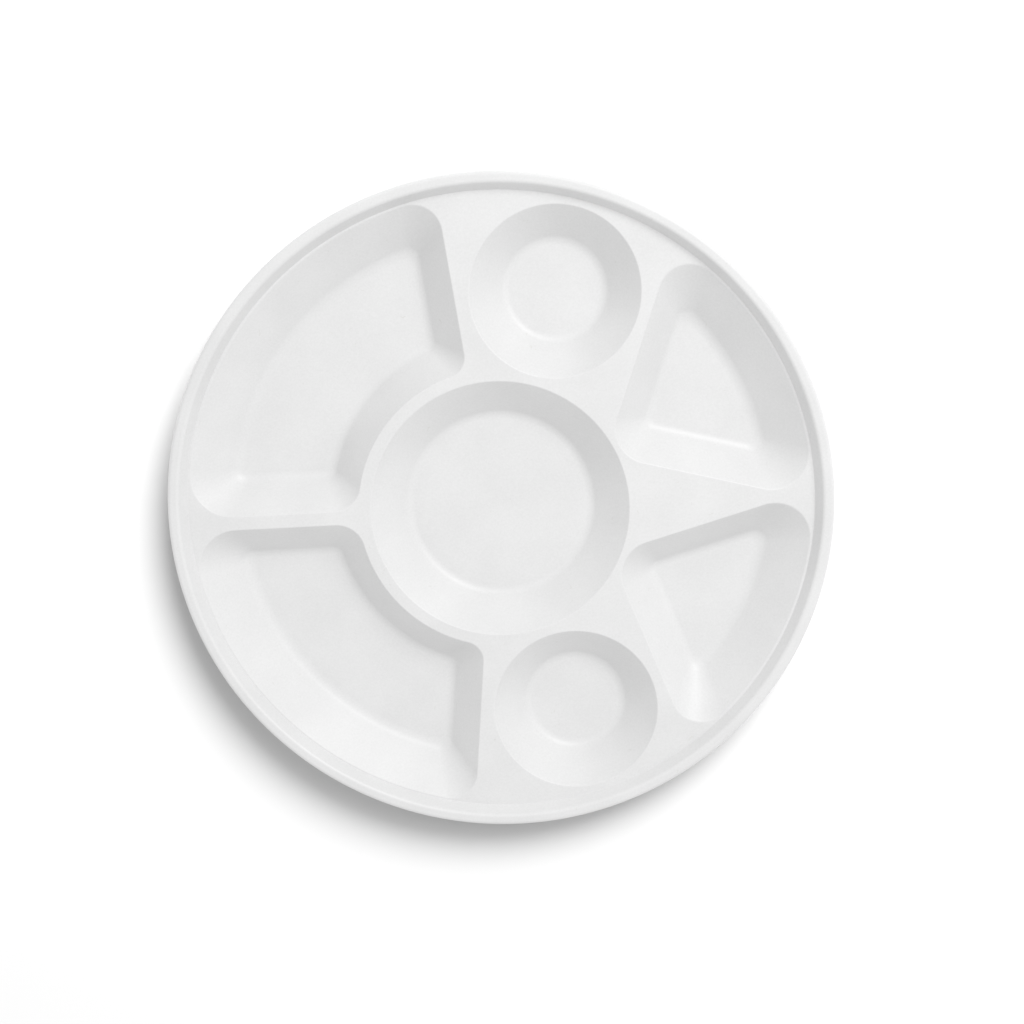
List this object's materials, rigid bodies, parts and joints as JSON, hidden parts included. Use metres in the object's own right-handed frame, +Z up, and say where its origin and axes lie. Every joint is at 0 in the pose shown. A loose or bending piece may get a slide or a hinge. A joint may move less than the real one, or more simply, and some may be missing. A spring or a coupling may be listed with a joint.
{
  "type": "compartment serving plate",
  "caption": "Round white moulded serving plate with a raised rolled rim, a middle bowl, two round cups, two wedge wells and two three-sided wells round it.",
  "frame": {"origin": "middle of the plate's underside, on the plane its seven well floors stand on", "axes": "+Z up; -X runs along the narrow rib between the two wedge wells and +X along the pointed land between the two three-sided wells; the layout mirrors across the XZ plane"},
  "size_m": [0.28, 0.28, 0.0217],
  "materials": {
    "moulded_fibre": "matte"
  },
  "bodies": {
    "root": {"rim": "moulded_fibre", "deck": "moulded_fibre", "centre_bowl": "moulded_fibre", "cup_far": "moulded_fibre", "cup_near": "moulded_fibre", "wedge_well_far": "moulded_fibre", "wedge_well_near": "moulded_fibre", "tri_well_far": "moulded_fibre", "tri_well_near": "moulded_fibre"}
  },
  "joints": []
}
